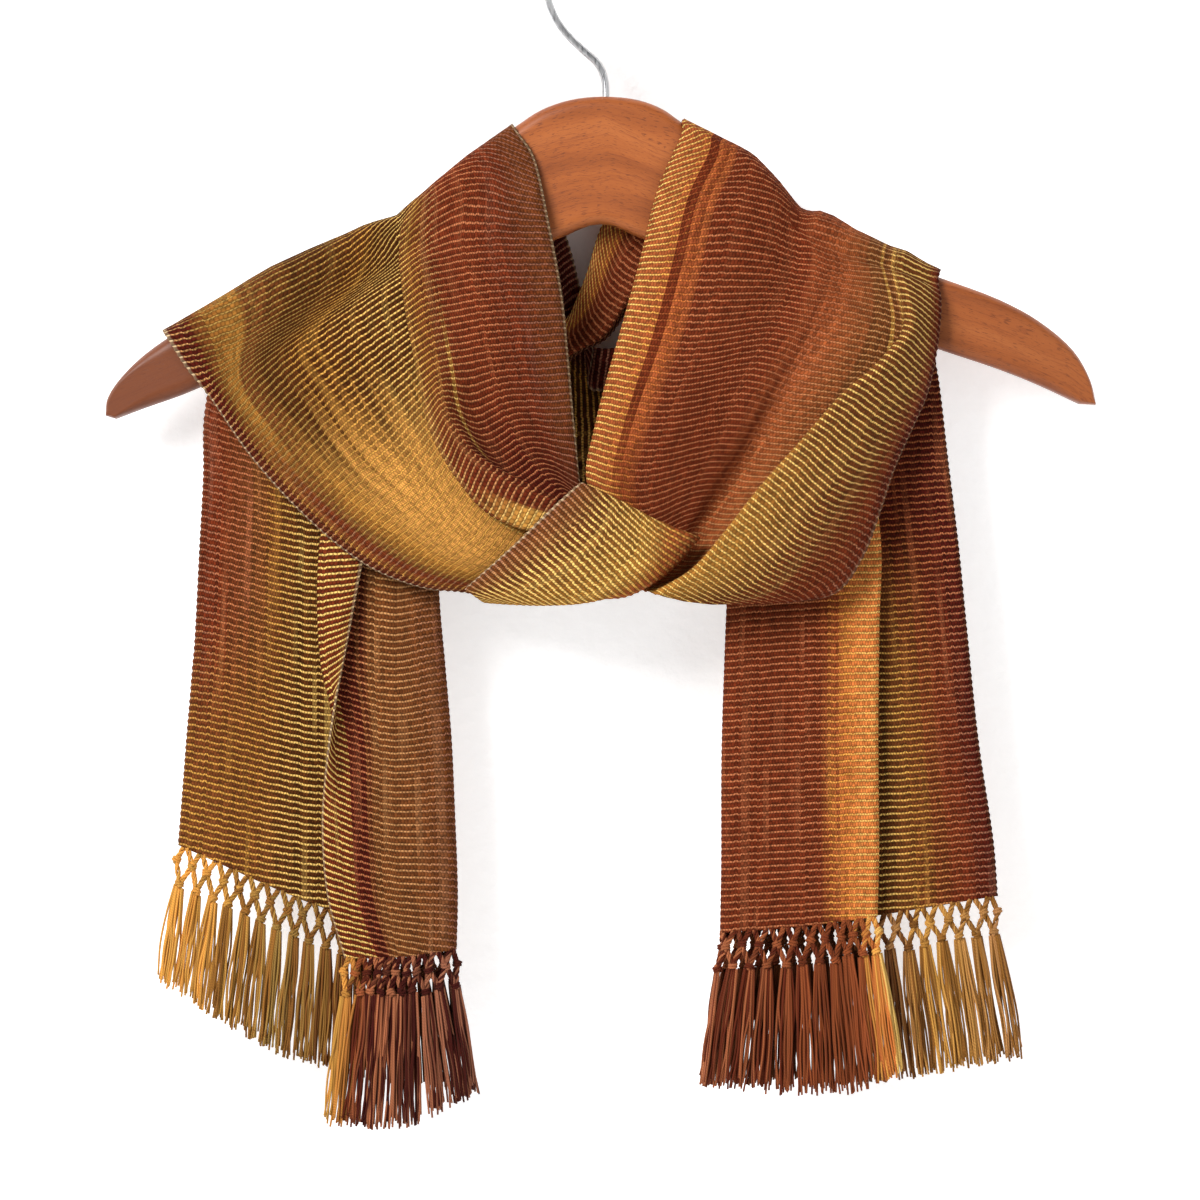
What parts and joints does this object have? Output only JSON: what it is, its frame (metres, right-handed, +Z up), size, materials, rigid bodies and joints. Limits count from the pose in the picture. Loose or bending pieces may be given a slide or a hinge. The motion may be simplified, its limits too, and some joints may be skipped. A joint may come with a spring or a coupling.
{
  "type": "woven scarf on a wooden hanger",
  "caption": "Handwoven rep-weave scarf wound round a flat wooden hanger, with knotted fringe hanging below both ends.",
  "frame": {"origin": "top of the inside of the hook's loop, where the hook rests on the rail that holds it", "axes": "+X to the viewer's right along the hanger, +Y away from the viewer, +Z up"},
  "size_m": [0.445, 0.0829, 0.5363],
  "materials": {
    "wood": "satin",
    "steel": "satin",
    "cloth": "matte",
    "fringe": "matte"
  },
  "bodies": {
    "root": {"hanger_body": "wood", "hanger_hook": "steel", "tail_left": "cloth", "tail_right": "cloth", "front_left": "cloth", "front_right": "cloth", "crossing": "cloth", "back_near": "cloth", "back_far": "cloth", "fringe_left": "fringe", "fringe_right": "fringe"}
  },
  "joints": []
}
